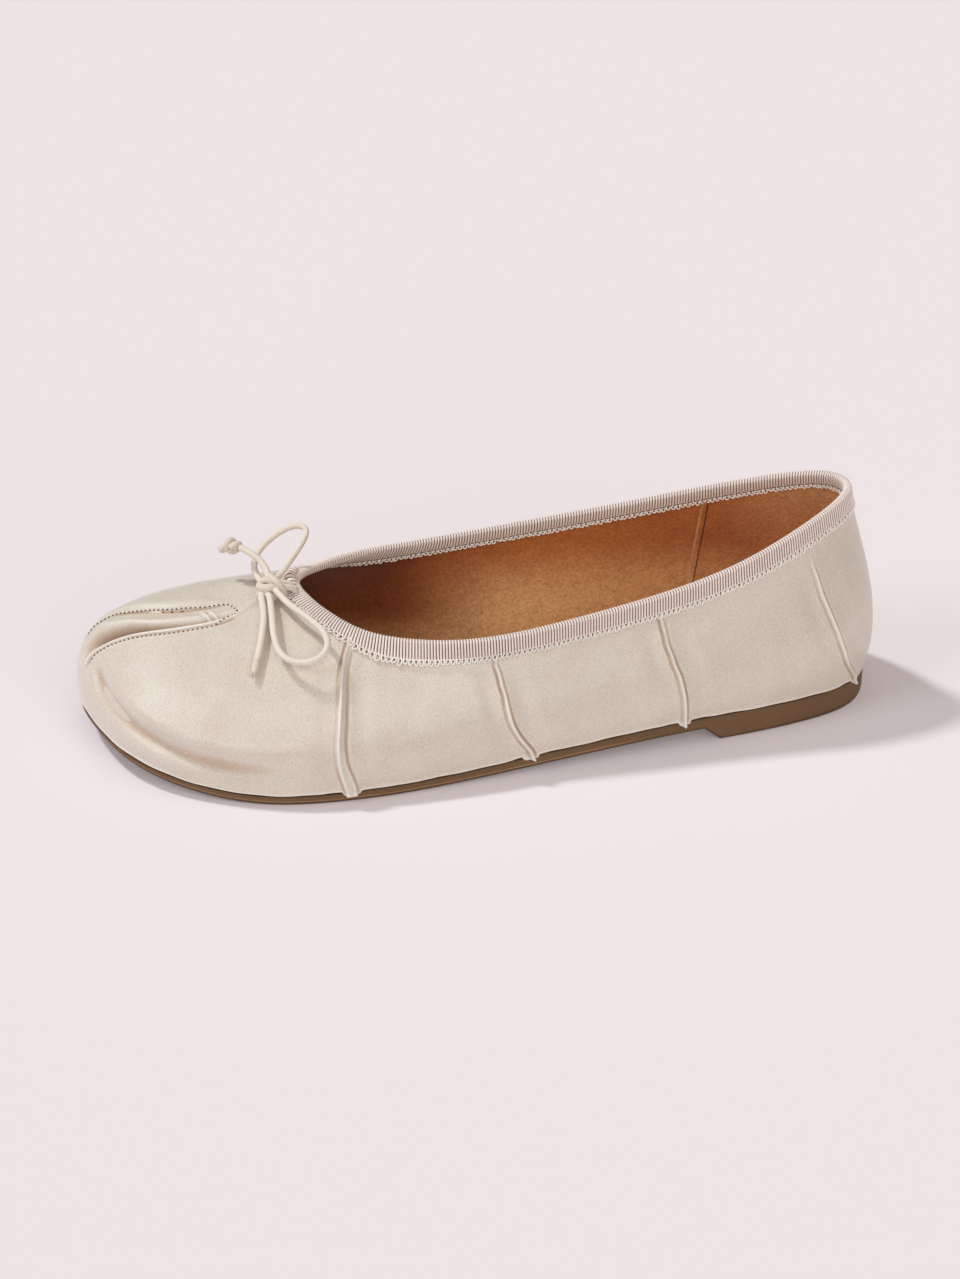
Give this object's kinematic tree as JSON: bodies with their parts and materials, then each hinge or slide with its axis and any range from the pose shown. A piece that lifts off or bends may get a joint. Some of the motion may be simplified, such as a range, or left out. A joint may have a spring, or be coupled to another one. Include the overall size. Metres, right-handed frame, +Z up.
{
  "type": "split-toe flat",
  "caption": "Left ballet-style flat with a stitched cleft between the great toe and the other toes, a ribbon-bound collar, a small cord bow and a thin sole with a low heel.",
  "frame": {"origin": "middle of the shoe's box, on the plane that its heel and forefoot rest on", "axes": "-Y from heel to toe, +X to the lateral side, +Z up"},
  "size_m": [0.0865, 0.2478, 0.0679],
  "materials": {
    "satin": "satin weave with a soft sheen",
    "ribbon": "ribbed ribbon, matt",
    "rubber": "moulded, matt",
    "suede": "fine nap, matt",
    "cord": "round woven cord, matt"
  },
  "bodies": {
    "root": {"outsole": "rubber", "upper": "satin", "insole": "suede", "binding": "ribbon", "bow_knot": "cord", "bow_loop_near": "cord", "bow_loop_far": "cord", "bow_end_near": "cord", "bow_end_far": "cord", "bow_neck_near": "cord", "bow_neck_far": "cord", "bow_tip_near": "cord", "bow_tip_far": "cord"}
  },
  "joints": []
}
